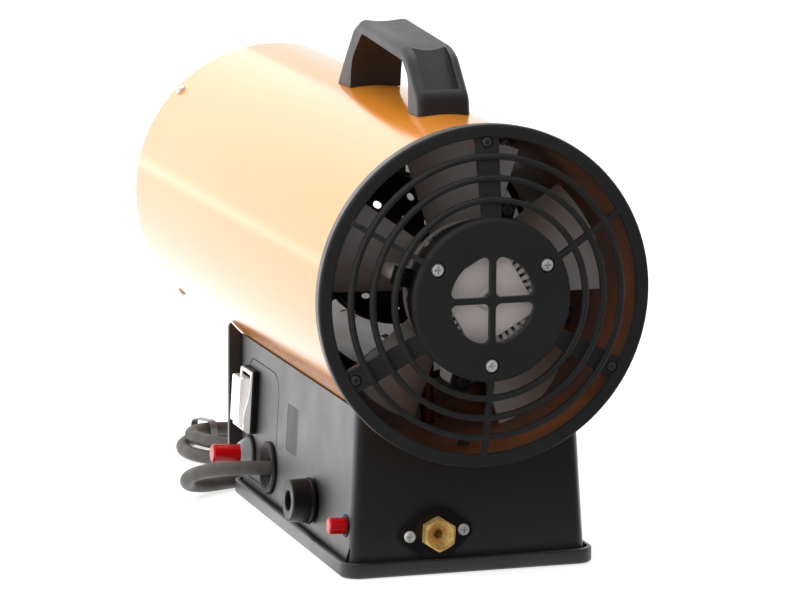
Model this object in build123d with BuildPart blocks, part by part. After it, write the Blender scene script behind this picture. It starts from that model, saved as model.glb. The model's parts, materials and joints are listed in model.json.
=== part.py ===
"""Forced air heater fired by bottled gas: a fan blows air through a burner tube on a control base.

Frame: +Z up, outlet towards -Y, air inlet and gas inlet towards +Y, controls on the +X side.
The origin is on the floor, midway along the tube.  Millimetres and degrees.
"""
from math import cos, hypot, pi, radians, sin, sqrt, tan
import os

from build123d import *

os.makedirs("parts", exist_ok=True)

# ------------------------------------------------------------------ driving dimensions
# fits
seat = 0.2                  # between pieces that are fixed to each other
slide_gap = 0.35            # round a button that travels
bearing_gap = 0.05          # round a turning shaft

# outer tube
body_length = 457.6         # hub of the grille to the front edge of the tube
tube_radius = 96.4
tube_wall = 1.0
bead_radius = 1.6           # rolled front edge

# base
base_half_width = 73.7      # at the bottom
base_length = 239.2         # at the bottom
base_height = 101.0         # where the side walls would meet the tube
wall_gap = 1.3              # from there down to their top edge
base_setback = 25.5         # rear wall behind the rim of the grille
base_wall = 2.4
base_corner = 6.0
side_draft = 3.2
rear_draft = 3.0
front_lean = 11.6           # the front wall leans out over the floor
tray_height = 9.7
tray_floor = 2.4
tray_rim = 2.6
tray_groove = 2.2           # between the rim and the base
tray_corner = 11.0
tray_lift = 0.6             # under the tray, given by its feet
foot_radius = 9.0
foot_inset = 24.0
cover_depth = 5.0
cover_overlap = 7.4         # the cover stands out past the side walls
cover_bottom = 15.0
cover_top = 106.5
cover_gap = 0.6             # between the cover and the tube

# rear grille
grille_radius = 101.2
grille_rim_depth = 9.0
grille_opening = 93.0
grille_proud = 12.4         # hub behind the rim
grille_ring_radii = (82.6, 70.4, 58.2)
grille_ring_size = 3.4
strut_width = 14.6          # of the three broad struts, at the rim
hub_radius = 48.2
hub_thickness = 3.2
hub_window = 26.0
hub_cross = 3.6
hub_screw_circle = 38.5
rim_screw_circle = 90.6

# motor and fan
motor_radius = 41.0
shaft_radius = 3.0
motor_screw_circle = 51.5
motor_screw_angle = 75.0
fan_radius = 86.0
fan_hub_radius = 22.0
fan_blades = 5
fan_setback = 50.0          # middle of the blades ahead of the rim

# burner
chamber_radius = 78.0
chamber_wall = 0.8
chamber_length = 300.0
chamber_recess = 7.0        # its front edge inside the tube
burner_radius = 46.0
pipe_radius = 4.0

# handle
handle_rear = 77.0          # rear foot ahead of the rim of the grille
handle_span = 170.0         # over both feet
handle_leg = 22.0           # depth of the rear foot
handle_front_leg = 32.0
handle_half_width = 16.4
grip_top_rear = 302.2
grip_top_front = 309.0
grip_depth = 8.0
grip_dish = 2.2             # hollow along the top of the grip
pocket_half_width = 10.6    # of the pocket in the rear foot
pocket_depth = 5.0
pocket_ledge = 14.0         # above the top of the tube

# controls, each by its distance ahead of the rim of the grille
control_height = 28.9
valve_setback = 39.9
knob_setback = 108.5
gland_setback = 202.5
igniter_setback = 246.0
switch_setback = 249.0
switch_height = 63.2
switch_width = 26.4
switch_tall = 40.5
knob_radius = 13.3
knob_length = 15.5
gland_radius = 16.6
igniter_radius = 12.0
igniter_button_radius = 5.9
valve_button_radius = 4.9

# gas inlet on the rear wall
inlet_x = 21.0
inlet_height = 24.5
inlet_flats = 18.0
inlet_length = 11.0         # out from the wall
inlet_bore_radius = 2.6
inlet_screw_pitch = 33.4
inlet_tilt = 4.0            # of the line through its two screws

# power cord
cord_radius = 4.5
cord_lift = 0.7             # under the lowest turns, for the strap round them
coil_radius = 48.0          # outermost turn
coil_clear = 2.4            # between neighbouring turns
coil_centre = (39.7, -155.0)
coil_low_halves = 2         # half turns spiralling in on the floor
coil_high_halves = 1        # half turns spiralling out on top of them
tie_angle = -60.0

# ------------------------------------------------------------------ worked out from these
y_hub = body_length / 2
y_front = -body_length / 2
y_rim = y_hub - grille_proud
y_base_rear = y_rim - base_setback
y_base_front = y_base_rear - base_length
z_base = tray_lift + tray_floor


def half_width(z):
    """Half width of the base's side walls at height z."""
    return base_half_width - (z - z_base) * tan(radians(side_draft))


def rear_wall(z):
    return y_base_rear - (z - z_base) * tan(radians(rear_draft))


def front_wall(z):
    return y_base_front - (z - z_base) * tan(radians(front_lean))


axis_height = base_height + sqrt(tube_radius**2 - half_width(base_height)**2)
tube_axis = Axis((0, 0, axis_height), (0, 1, 0))
tube_inside = tube_radius - tube_wall
y_tube_rear = y_rim - 3.0


def across(y, x=0.0, z=axis_height):
    """A plane square to the tube, seen from the rear: its x runs towards -X."""
    return Plane(origin=(x, y, z), x_dir=(-1, 0, 0), z_dir=(0, 1, 0))


def on_side(setback, z, out=0.0):
    """A plane on the control wall: its x runs to the rear and its z outwards."""
    lean = radians(side_draft)
    normal = Vector(cos(lean), 0, sin(lean))
    origin = Vector(half_width(z), y_rim - setback, z) + normal * out
    return Plane(origin=origin, x_dir=(0, 1, 0), z_dir=normal)


def on_rear(x, z, out=0.0):
    """A plane on the rear wall: its x runs towards -X and its z outwards."""
    lean = radians(rear_draft)
    normal = Vector(0, cos(lean), sin(lean))
    origin = Vector(x, rear_wall(z), z) + normal * out
    return Plane(origin=origin, x_dir=(-1, 0, 0), z_dir=normal)


def on_tube(y, angle, radius):
    """A plane at a point round the tube, its z outwards; angle 0 is +X and 90 is up."""
    normal = Vector(cos(radians(angle)), 0, sin(radians(angle)))
    origin = Vector(0, y, axis_height) + normal * radius
    return Plane(origin=origin, x_dir=(0, 1, 0), z_dir=normal)


def save(piece, label):
    piece.part.label = label
    export_step(piece.part, f"parts/{label}.step")


def disc(plane, radius, length, mode=Mode.ADD):
    """A round bar or hole along a plane's z, in the part that is being built."""
    with BuildSketch(plane) as section:
        Circle(radius)
    extrude(section.sketch, amount=length, mode=mode)


def turned(points, mode=Mode.ADD):
    """Revolve a closed outline of (y, radius) points about the tube's axis."""
    with BuildSketch(Plane.YZ) as section:
        with BuildLine():
            Polyline(*[(y, axis_height + radius) for y, radius in points], close=True)
        make_face()
    revolve(section.sketch, axis=tube_axis, mode=mode)


def spun(plane, points, mode=Mode.ADD):
    """Revolve a closed outline of (radius, height) points about a plane's z."""
    side = Plane(origin=plane.origin, x_dir=plane.x_dir, z_dir=plane.x_dir.cross(plane.z_dir))
    with BuildSketch(side) as section:
        with BuildLine():
            Polyline(*points, close=True)
        make_face()
    revolve(section.sketch, axis=Axis(plane.origin, plane.z_dir), mode=mode)


def pan_screw(plane, head, shank, length):
    """A cross-headed pan screw whose head stands on the plane, its shank running below it."""
    rise = head * 0.6
    spun(plane, [(0, -length), (shank, -length), (shank, 0), (head, 0), (head, rise * 0.5),
                 (head * 0.78, rise), (0, rise)])
    with BuildSketch(plane.offset(rise * 0.35)) as cross:
        Rectangle(head * 1.1, head * 0.26)
        Rectangle(head * 0.26, head * 1.1)
    extrude(cross.sketch, amount=rise, mode=Mode.SUBTRACT)


def box_loft(low, high, inset, mode=Mode.ADD):
    """The leaning body of the base between two heights, its faces moved in by inset."""
    sections = []
    for z in (low, high):
        back = rear_wall(z) - inset
        front = front_wall(z) + inset
        with BuildSketch(Plane.XY.offset(z)) as section:
            with Locations((0, (back + front) / 2)):
                RectangleRounded(2 * (half_width(z) - inset), back - front, base_corner - inset)
        sections.append(section.sketch.face())
    loft(sections, ruled=True, mode=mode)


# ------------------------------------------------------------------ base tray and feet
tray_half_width = base_half_width + tray_groove + tray_rim
y_tray_rear = y_base_rear + tray_groove + tray_rim
y_tray_front = y_base_front - tray_groove - tray_rim
tray_length = y_tray_rear - y_tray_front
y_tray = (y_tray_rear + y_tray_front) / 2
foot_places = [(x * (tray_half_width - foot_inset), y_tray + y * (tray_length / 2 - foot_inset))
               for x in (-1, 1) for y in (-1, 1)]
foot_pocket = 1.0

with BuildPart() as base_tray:
    with BuildSketch(Plane.XY.offset(tray_lift)):
        with Locations((0, y_tray)):
            RectangleRounded(2 * tray_half_width, tray_length, tray_corner)
    extrude(amount=tray_height - tray_lift)
    fillet(edges().group_by(Axis.Z)[-1], radius=1.2)
    chamfer(edges().group_by(Axis.Z)[0], length=1.0)
    with BuildSketch(Plane.XY.offset(z_base)):
        with Locations((0, y_tray)):
            RectangleRounded(2 * (tray_half_width - tray_rim), tray_length - 2 * tray_rim,
                             tray_corner - tray_rim)
    extrude(amount=tray_height, mode=Mode.SUBTRACT)
    with BuildSketch(Plane.XY.offset(tray_lift)):
        with Locations(*foot_places):
            Circle(foot_radius + seat)
    extrude(amount=foot_pocket, mode=Mode.SUBTRACT)
save(base_tray, "base_tray")

with BuildPart() as rubber_feet:
    with BuildSketch(Plane.XY):
        with Locations(*foot_places):
            Circle(foot_radius)
    extrude(amount=tray_lift + foot_pocket)
    chamfer(edges().group_by(Axis.Z)[0], length=0.4)
save(rubber_feet, "rubber_feet")

# ------------------------------------------------------------------ base box
switch_hole = (switch_width - 3.0, switch_tall - 6.5)
igniter_hole = 9.0
gland_hole = 11.0
knob_hole = 5.0
collar_wall = 0.9            # of the bush round the valve's button
valve_hole = valve_button_radius + slide_gap + collar_wall + seat
inlet_hole = inlet_flats / 2 + 1.6
inlet_screw_places = [(side * inlet_screw_pitch / 2 * cos(radians(inlet_tilt)),
                       side * inlet_screw_pitch / 2 * sin(radians(inlet_tilt))) for side in (-1, 1)]
small_hole = 1.6
bay_groove = 0.8             # width and depth of the line round the bay
bay_rear, bay_front, bay_top, bay_bottom, bay_corner = 190.5, 262.0, 89.7, 14.0, 14.0
plate_recess = 0.4
plate_size = (23.0, 29.0)
plate_setback, plate_height = 158.6, 62.0
wedge_setback, wedge_width, wedge_height = 39.0, 11.0, 15.0

cover_lean = radians(front_lean)
cover_plane = Plane(origin=(0, front_wall(cover_bottom) - seat, cover_bottom), x_dir=(1, 0, 0),
                    z_dir=(0, -cos(cover_lean), -sin(cover_lean)))
cover_rise = (cover_top - cover_bottom) / cos(cover_lean)
cover_low = half_width(cover_bottom) + cover_overlap
cover_high = half_width(cover_top) + cover_overlap
cover_recess = 2.4          # under its screws' heads
cover_screw_head = 3.8
cover_screw_places = [(side * (half_width(z) - 9), (z - cover_bottom) / cos(cover_lean))
                      for side in (-1, 1) for z in (cover_bottom + 9, cover_top - 20)]

with BuildPart() as base_shell:
    box_loft(z_base, base_height - wall_gap, 0)
    box_loft(z_base - 1, base_height + 1, base_wall, mode=Mode.SUBTRACT)
    disc(across(y_base_front - 60), tube_radius + seat, base_length + 120, mode=Mode.SUBTRACT)
    # the line moulded round the switch, the igniter and the cord
    with BuildSketch(on_side((bay_rear + bay_front) / 2, (bay_top + bay_bottom) / 2)):
        RectangleRounded(bay_front - bay_rear, bay_top - bay_bottom, bay_corner)
        RectangleRounded(bay_front - bay_rear - 2 * bay_groove, bay_top - bay_bottom - 2 * bay_groove,
                         bay_corner - bay_groove, mode=Mode.SUBTRACT)
    extrude(amount=-bay_groove, mode=Mode.SUBTRACT)
    with BuildSketch(on_side(plate_setback, plate_height)):
        RectangleRounded(*plate_size, 1.5)
    extrude(amount=-plate_recess, mode=Mode.SUBTRACT)
    # the notch at the foot of the control wall's rear corner
    with BuildSketch(on_side(wedge_setback, z_base)):
        with BuildLine():
            Polyline((0, 0), (wedge_width, 0), (wedge_width * 0.8, wedge_height), close=True)
        make_face()
    extrude(amount=-base_wall * 0.5, mode=Mode.SUBTRACT)
    # openings for the controls
    with BuildSketch(on_side(switch_setback, switch_height)):
        Rectangle(*switch_hole)
    extrude(amount=-base_wall * 2, mode=Mode.SUBTRACT)
    for setback, radius in ((igniter_setback, igniter_hole), (gland_setback, gland_hole),
                            (knob_setback, knob_hole), (valve_setback, valve_hole)):
        disc(on_side(setback, control_height), radius, -base_wall * 2, mode=Mode.SUBTRACT)
    with BuildSketch(on_rear(inlet_x, inlet_height)):
        Circle(inlet_hole)
        with Locations(*inlet_screw_places):
            Circle(small_hole)
    extrude(amount=-base_wall * 2, mode=Mode.SUBTRACT)
    with BuildSketch(cover_plane):
        with Locations(*cover_screw_places):
            Circle(small_hole)
    extrude(amount=-base_wall * 2, mode=Mode.SUBTRACT)
save(base_shell, "base_shell")

# ------------------------------------------------------------------ front cover
with BuildPart() as front_cover:
    with BuildSketch(cover_plane):
        with BuildLine():
            Polyline((-cover_low, 0), (cover_low, 0), (cover_high, cover_rise), (-cover_high, cover_rise),
                     close=True)
        make_face()
        fillet(vertices(), radius=3.0)
    extrude(amount=cover_depth)
    fillet(faces().sort_by(Axis(cover_plane.origin, cover_plane.z_dir))[-1].edges(), radius=1.6)
    disc(across(y_base_front - 80), tube_radius + cover_gap, 160, mode=Mode.SUBTRACT)
    with BuildSketch(cover_plane.offset(cover_depth)):
        with Locations(*cover_screw_places):
            Circle(cover_screw_head + 0.6)
    extrude(amount=-cover_recess, mode=Mode.SUBTRACT)
    with BuildSketch(cover_plane):
        with Locations(*cover_screw_places):
            Circle(small_hole)
    extrude(amount=cover_depth, mode=Mode.SUBTRACT)
save(front_cover, "front_cover")

with BuildPart() as cover_screws:
    for x, y in cover_screw_places:
        place = Plane(origin=cover_plane.from_local_coords((x, y, cover_depth - cover_recess + seat)),
                      x_dir=cover_plane.x_dir, z_dir=cover_plane.z_dir)
        pan_screw(place, cover_screw_head, small_hole - seat, cover_depth - cover_recess + base_wall + 2)
save(cover_screws, "cover_screws")

# ------------------------------------------------------------------ outer tube
y_pipe = y_rim - knob_setback
front_screw_setback = 14.0
y_chamber_front = y_front + chamber_recess
y_chamber_rear = y_chamber_front + chamber_length
y_rear_spacer = y_chamber_rear - 22.0
spacer_places = ([(y_front + front_screw_setback, angle) for angle in (45, 135, 225, 315)]
                 + [(y_rear_spacer, angle) for angle in (135, 240, 300)])
strut_angles = (90, 210, 330)
tab_reach = 9.6
tab_width = 13.0
tab_sheet = 1.5
grille_slope = (grille_proud - 1.6) / (grille_opening - hub_radius)


def grille_y(radius):
    """Middle of the grille's domed bars at a radius."""
    return y_rim + (grille_opening - radius) * grille_slope


strut_outer = 94.0
strut_thickness = 3.0
strut_recess = 1.2          # of the struts' outer face behind the rings
y_tab = grille_y(strut_outer) - strut_recess - strut_thickness - seat
y_handle_rear = y_rim - handle_rear
y_handle_front = y_handle_rear - handle_span
handle_screw_places = (y_handle_rear - handle_leg * 0.55, y_handle_front + handle_front_leg * 0.5)
saddle_places = (rear_wall(65) - base_wall - 8.0, front_wall(65) + base_wall + 8.0)

with BuildPart() as heater_tube:
    turned([(y_front + bead_radius, tube_radius), (y_tube_rear, tube_radius),
            (y_tube_rear, tube_inside), (y_front + bead_radius, tube_inside)])
    with BuildSketch(Plane.YZ) as bead:
        with Locations((y_front + bead_radius, axis_height + tube_radius - bead_radius)):
            Circle(bead_radius)
    revolve(bead.sketch, axis=tube_axis)
    for angle in strut_angles:
        with BuildSketch(across(y_tab)) as tab:
            with PolarLocations(tube_inside - tab_reach / 2 + tube_wall / 2, 1, start_angle=angle):
                Rectangle(tab_reach, tab_width)
            with PolarLocations(rim_screw_circle, 1, start_angle=angle):
                Circle(small_hole - 0.2, mode=Mode.SUBTRACT)
        extrude(tab.sketch, amount=-tab_sheet)
    disc(on_tube(y_pipe, -90, tube_inside - 4), pipe_radius + 2.0, 8, mode=Mode.SUBTRACT)
    for y, angle in spacer_places:
        disc(on_tube(y, angle, tube_inside - 3), small_hole, 8, mode=Mode.SUBTRACT)
    for y in handle_screw_places:
        disc(on_tube(y, 90, tube_inside - 3), 2.4, 8, mode=Mode.SUBTRACT)
    for y in saddle_places:
        disc(on_tube(y, -90, tube_inside - 3), 2.2, 8, mode=Mode.SUBTRACT)
save(heater_tube, "heater_tube")

with BuildPart() as saddle_screws:
    for y in saddle_places:
        inward = Plane(origin=(0, y, axis_height - tube_inside + seat), z_dir=(0, 0, 1))
        pan_screw(inward, 3.8, 1.8, tube_wall + 9)
save(saddle_screws, "saddle_screws")

# ------------------------------------------------------------------ rear grille
hub_screw_angles = (30, 150, 270)
hub_recess = 2.4
hub_skirt = 6.0
rim_thickness = 2.8
skirt_wall = grille_radius - tube_radius - seat

y_grille_screw = grille_y(rim_screw_circle) - strut_recess - 1.2


def bar_band(drop, thickness):
    """A dished ring from the rim to the hub, its outer face lower than the bars' middle by drop."""
    inner = hub_radius - 2.2
    turned([(grille_y(strut_outer) - drop - thickness, strut_outer), (grille_y(strut_outer) - drop, strut_outer),
            (grille_y(inner) - drop, inner), (grille_y(inner) - drop - thickness, inner)])


with BuildPart() as grille_struts:
    bar_band(strut_recess, strut_thickness)
    with BuildSketch(across(y_rim - 20)) as fan_out:
        for angle in strut_angles:
            with PolarLocations(70, 1, start_angle=angle):
                Trapezoid(strut_width, 60, 88.3, align=(Align.CENTER, Align.CENTER), rotation=90)
    extrude(fan_out.sketch, amount=60, mode=Mode.INTERSECT)

with BuildPart() as grille_ribs:
    bar_band(-1.2, 4.0)
    with BuildSketch(across(y_rim - 20)) as spokes:
        for angle in hub_screw_angles:
            with PolarLocations(70, 1, start_angle=angle):
                Rectangle(60, 3.2)
    extrude(spokes.sketch, amount=60, mode=Mode.INTERSECT)

with BuildPart() as rear_grille:
    turned([(y_rim - grille_rim_depth, grille_radius - 0.6), (y_rim - 1.6, grille_radius),
            (y_rim - 0.5, grille_radius - 0.5), (y_rim, grille_radius - 1.6),
            (y_rim, grille_opening + 0.8), (y_rim - 0.8, grille_opening),
            (y_rim - rim_thickness, grille_opening), (y_rim - rim_thickness, grille_radius - skirt_wall),
            (y_rim - grille_rim_depth, grille_radius - skirt_wall)])
    for radius in grille_ring_radii:
        y_bar = grille_y(radius)
        half = grille_ring_size / 2
        turned([(y_bar - half - 0.2, radius - half), (y_bar - half - 0.2, radius + half),
                (y_bar + half - 0.5, radius + half), (y_bar + half + 0.2, radius + half * 0.4),
                (y_bar + half + 0.2, radius - half * 0.4), (y_bar + half - 0.5, radius - half)])
    turned([(y_hub - hub_thickness, 0), (y_hub, 0), (y_hub, hub_radius - 2.2),
            (y_hub - 0.7, hub_radius - 0.7), (y_hub - 2.2, hub_radius), (y_hub - hub_skirt, hub_radius),
            (y_hub - hub_skirt, hub_radius - 2.2), (y_hub - hub_thickness, hub_radius - 2.2)])
    add(grille_struts.part)
    add(grille_ribs.part)
    # four windows in the hub, parted by a cross
    with BuildSketch(across(y_hub - 10)) as windows:
        Circle(hub_window)
        Rectangle(hub_cross, 3 * hub_window, mode=Mode.SUBTRACT)
        Rectangle(3 * hub_window, hub_cross, mode=Mode.SUBTRACT)
        fillet(windows.vertices(), radius=3.6)
    extrude(windows.sketch, amount=20, mode=Mode.SUBTRACT)
    with BuildSketch(across(y_hub)) as recesses:
        with PolarLocations(hub_screw_circle, 3, start_angle=30):
            Circle(4.7)
    extrude(recesses.sketch, amount=-hub_recess, mode=Mode.SUBTRACT)
    with BuildSketch(across(y_grille_screw)) as spot_faces:
        with PolarLocations(rim_screw_circle, 3, start_angle=90):
            Circle(3.6)
    extrude(spot_faces.sketch, amount=10, mode=Mode.SUBTRACT)
    with BuildSketch(across(y_hub - 10)) as holes:
        with PolarLocations(hub_screw_circle, 3, start_angle=30):
            Circle(2.2)
        with PolarLocations(rim_screw_circle, 3, start_angle=90):
            Circle(small_hole)
    extrude(holes.sketch, amount=-40, both=True, mode=Mode.SUBTRACT)
save(rear_grille, "rear_grille")

with BuildPart() as motor_screws:
    for angle in hub_screw_angles:
        spot = across(y_hub - hub_recess + seat).from_local_coords(
            (hub_screw_circle * cos(radians(angle)), hub_screw_circle * sin(radians(angle)), 0))
        pan_screw(Plane(origin=spot, x_dir=(-1, 0, 0), z_dir=(0, 1, 0)), 3.8, 1.9, 6.4)
save(motor_screws, "motor_screws")

with BuildPart() as grille_screws:
    for angle in strut_angles:
        spot = across(y_grille_screw + seat).from_local_coords(
            (rim_screw_circle * cos(radians(angle)), rim_screw_circle * sin(radians(angle)), 0))
        pan_screw(Plane(origin=spot, x_dir=(-1, 0, 0), z_dir=(0, 1, 0)), 3.0, 1.2, 7.5)
save(grille_screws, "grille_screws")

# ------------------------------------------------------------------ motor
y_bracket = y_hub - hub_thickness - seat
bracket_sheet = 3.0
bracket_radius = hub_radius - 2.2 - 0.5
bracket_opening = 31.0
ear_sheet = 2.5
y_ear = y_rim - 7.4
y_stator = y_ear - seat
stator_length = 16.6
motor_cap_length = 8.0
y_front_cap = y_stator - stator_length - seat
motor_hole = 2.1
motor_angles = [motor_screw_angle + 90 * index for index in range(4)]
y_fan = y_rim - fan_setback
fan_hub_length = 22.0
y_shaft_rear = y_rim + 4.6
y_shaft_front = y_fan - fan_hub_length / 2 - 6.4


def motor_places():
    """Places round the axis, in an across() sketch, of the motor's four screws."""
    return [(motor_screw_circle * cos(radians(angle)), motor_screw_circle * sin(radians(angle)))
            for angle in motor_angles]


def arms(plane, inner, outer, width, angles, length):
    """Radial arms on a plane across the tube, in the part that is being built."""
    with BuildSketch(plane) as section:
        for angle in angles:
            with PolarLocations((inner + outer) / 2, 1, start_angle=angle):
                Rectangle(outer - inner, width)
    extrude(section.sketch, amount=length)


with BuildPart() as motor_bracket:
    turned([(y_bracket, bracket_opening), (y_bracket, bracket_radius - 1.5),
            (y_bracket - 1.5, bracket_radius), (y_ear, bracket_radius), (y_ear, bracket_radius - 1.6),
            (y_bracket - bracket_sheet, bracket_radius - 1.6), (y_bracket - bracket_sheet, bracket_opening)])
    arms(across(y_ear), bracket_radius - 1.6, motor_screw_circle + 5.5, 11.0, motor_angles, ear_sheet)
    with BuildSketch(across(y_bracket - 20)) as bracket_holes:
        with PolarLocations(hub_screw_circle, 3, start_angle=hub_screw_angles[0]):
            Circle(motor_hole)
        with Locations(*motor_places()):
            Circle(motor_hole)
    extrude(bracket_holes.sketch, amount=30, mode=Mode.SUBTRACT)
save(motor_bracket, "motor_bracket")

with BuildPart() as bracket_screws:
    for x, z in motor_places():
        spot = across(y_ear + ear_sheet + seat).from_local_coords((x, z, 0))
        pan_screw(Plane(origin=spot, x_dir=(-1, 0, 0), z_dir=(0, 1, 0)), 3.6, 1.8, 14)
save(bracket_screws, "bracket_screws")

rear_cap_radius = 30.0
cap_square = 45.0               # side of the raised square between the motor's screws
boss_radius = 8.6
with BuildPart() as motor_rear_cap:
    turned([(y_ear, rear_cap_radius - 3), (y_ear, rear_cap_radius), (y_rim + 0.4, rear_cap_radius),
            (y_rim + 2.0, rear_cap_radius - 2.4), (y_rim + 2.0, shaft_radius + bearing_gap),
            (y_rim - 3.5, shaft_radius + bearing_gap), (y_rim - 3.5, 9), (y_rim - 0.4, 11),
            (y_rim - 0.4, rear_cap_radius - 3)])
    with BuildSketch(across(y_rim - 1)) as cap_slots:
        with PolarLocations(rear_cap_radius - 4.5, 36):
            Rectangle(10, 2.0)
    extrude(cap_slots.sketch, amount=8, mode=Mode.SUBTRACT)
    with BuildSketch(across(y_rim - 0.4)) as cap_face:
        Rectangle(cap_square, cap_square, rotation=motor_screw_angle - 45)
        Circle(shaft_radius + bearing_gap, mode=Mode.SUBTRACT)
    extrude(cap_face.sketch, amount=3.8)
    with BuildSketch(across(y_rim + 3.4)) as boss:
        Circle(boss_radius)
        Circle(boss_radius - 1.6, mode=Mode.SUBTRACT)
        Circle(shaft_radius + 2.2)
        Circle(shaft_radius + bearing_gap, mode=Mode.SUBTRACT)
    extrude(boss.sketch, amount=1.2)
save(motor_rear_cap, "motor_rear_cap")

rotor_radius = 13.0
stator_bore = rotor_radius + 0.5
with BuildPart() as motor_stator:
    turned([(y_stator, stator_bore), (y_stator, motor_radius), (y_stator - stator_length, motor_radius),
            (y_stator - stator_length, stator_bore)])
    with BuildSketch(across(y_stator - stator_length)) as stator_notches:
        with PolarLocations(motor_radius, 8):
            Circle(2.0)
    extrude(stator_notches.sketch, amount=stator_length, mode=Mode.SUBTRACT)
    turned([(y_stator - 1, stator_bore + 1), (y_stator + 2.4, stator_bore + 1), (y_stator + 3.6, 16),
            (y_stator + 3.6, 23), (y_stator + 2.4, rear_cap_radius - 4), (y_stator - 1, rear_cap_radius - 4)])
save(motor_stator, "motor_stator")

with BuildPart() as motor_rotor:
    disc(across(y_stator - stator_length), rotor_radius, stator_length)
    disc(across(y_stator - stator_length), shaft_radius + 0.1, stator_length, mode=Mode.SUBTRACT)
save(motor_rotor, "motor_rotor")

with BuildPart() as motor_shaft:
    disc(across(y_shaft_front), shaft_radius, y_shaft_rear - y_shaft_front)
    chamfer(edges(), length=0.4)
save(motor_shaft, "motor_shaft")

with BuildPart() as motor_front_cap:
    turned([(y_front_cap, motor_radius), (y_front_cap - motor_cap_length + 2, motor_radius),
            (y_front_cap - motor_cap_length, motor_radius - 2), (y_front_cap - motor_cap_length, 10),
            (y_front_cap - motor_cap_length - 1.2, 8),
            (y_front_cap - motor_cap_length - 1.2, shaft_radius + bearing_gap),
            (y_front_cap - 2, shaft_radius + bearing_gap), (y_front_cap - 2, 9),
            (y_front_cap - motor_cap_length + 2.4, 10),
            (y_front_cap - motor_cap_length + 2.4, motor_radius - 4), (y_front_cap, motor_radius - 4)])
    arms(across(y_front_cap - motor_cap_length + 2), motor_radius - 3, motor_screw_circle, 9.0,
         motor_angles, motor_cap_length - 2)
    for x, z in motor_places():
        post = across(y_front_cap - motor_cap_length + 2).from_local_coords((x, z, 0))
        disc(Plane(origin=post, z_dir=(0, 1, 0)), 4.5, y_stator - y_front_cap + motor_cap_length - 2)
    with BuildSketch(across(y_front_cap - 20)) as post_holes:
        with Locations(*motor_places()):
            Circle(motor_hole)
    extrude(post_holes.sketch, amount=60, mode=Mode.SUBTRACT)
save(motor_front_cap, "motor_front_cap")

# ------------------------------------------------------------------ fan
blade_sheet = 1.4
blade_stations = ((fan_hub_radius - 4, 31.0, 42.0), (54.0, 54.0, 32.0), (fan_radius + 3, 74.0, 24.0))
blade_camber = 0.09


def blade_section(radius, chord, pitch):
    """The curved section of a blade on a plane square to the radius."""
    turn = radians(pitch)
    plane = Plane(origin=(0, y_fan, axis_height + radius), x_dir=(cos(turn), -sin(turn), 0), z_dir=(0, 0, 1))
    rise = chord * blade_camber
    with BuildSketch(plane) as section:
        with BuildLine():
            ThreePointArc((-chord / 2, 0), (0, rise), (chord / 2, 0))
            Line((chord / 2, 0), (chord / 2, -blade_sheet))
            ThreePointArc((chord / 2, -blade_sheet), (0, rise - blade_sheet), (-chord / 2, -blade_sheet))
            Line((-chord / 2, -blade_sheet), (-chord / 2, 0))
        make_face()
    return section.sketch.face()


with BuildPart() as fan_blade:
    loft([blade_section(*station) for station in blade_stations], ruled=True)
    turned([(y_fan - 60, fan_hub_radius - 3), (y_fan + 60, fan_hub_radius - 3), (y_fan + 60, fan_radius),
            (y_fan - 60, fan_radius)], mode=Mode.INTERSECT)

with BuildPart() as fan_rotor:
    turned([(y_fan + fan_hub_length / 2, 0), (y_fan + fan_hub_length / 2, fan_hub_radius),
            (y_fan - fan_hub_length / 2 + 3, fan_hub_radius), (y_fan - fan_hub_length / 2, fan_hub_radius - 3),
            (y_fan - fan_hub_length / 2, 0)])
    for index in range(fan_blades):
        add(fan_blade.part.rotate(tube_axis, 360 / fan_blades * index))
    disc(across(y_fan - 40), shaft_radius + 0.1, 80, mode=Mode.SUBTRACT)
save(fan_rotor, "fan_rotor")

with BuildPart() as fan_nut:
    with BuildSketch(across(y_fan - fan_hub_length / 2 - seat)) as nut_section:
        RegularPolygon(5.0, 6, major_radius=False)
        Circle(shaft_radius + 0.1, mode=Mode.SUBTRACT)
    extrude(nut_section.sketch, amount=-5.0)
save(fan_nut, "fan_nut")

# ------------------------------------------------------------------ combustion chamber and burner
spacer_radius = 5.0
slot_length, slot_width, slots_round = 30.0, 4.0, 10
slot_rows = (0.3, 0.6)
with BuildPart() as combustion_chamber:
    turned([(y_chamber_front, chamber_radius), (y_chamber_rear - 6, chamber_radius),
            (y_chamber_rear, chamber_radius - 5), (y_chamber_rear, chamber_radius - 5 - chamber_wall),
            (y_chamber_rear - 6, chamber_radius - chamber_wall), (y_chamber_front, chamber_radius - chamber_wall)])
    for y, angle in spacer_places:
        disc(on_tube(y, angle, chamber_radius - 4), small_hole, 8, mode=Mode.SUBTRACT)
    for share in slot_rows:
        for index in range(slots_round):
            side = on_tube(y_chamber_front + share * chamber_length, 360 / slots_round * index,
                           chamber_radius - 4)
            with BuildSketch(side) as slot:
                SlotOverall(slot_length, slot_width)
            extrude(slot.sketch, amount=8, mode=Mode.SUBTRACT)
save(combustion_chamber, "combustion_chamber")

with BuildPart() as chamber_spacers:
    for y, angle in spacer_places:
        with BuildSketch(on_tube(y, angle, chamber_radius + seat)) as spacer:
            Circle(spacer_radius)
            Circle(small_hole, mode=Mode.SUBTRACT)
        extrude(spacer.sketch, amount=tube_inside - chamber_radius - 2 * seat - 0.15)
save(chamber_spacers, "chamber_spacers")

with BuildPart() as chamber_screws:
    for y, angle in spacer_places:
        pan_screw(on_tube(y, angle, tube_radius + 0.05), 3.4, small_hole - seat,
                  tube_radius - chamber_radius + 3.5)
save(chamber_screws, "chamber_screws")

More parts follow.
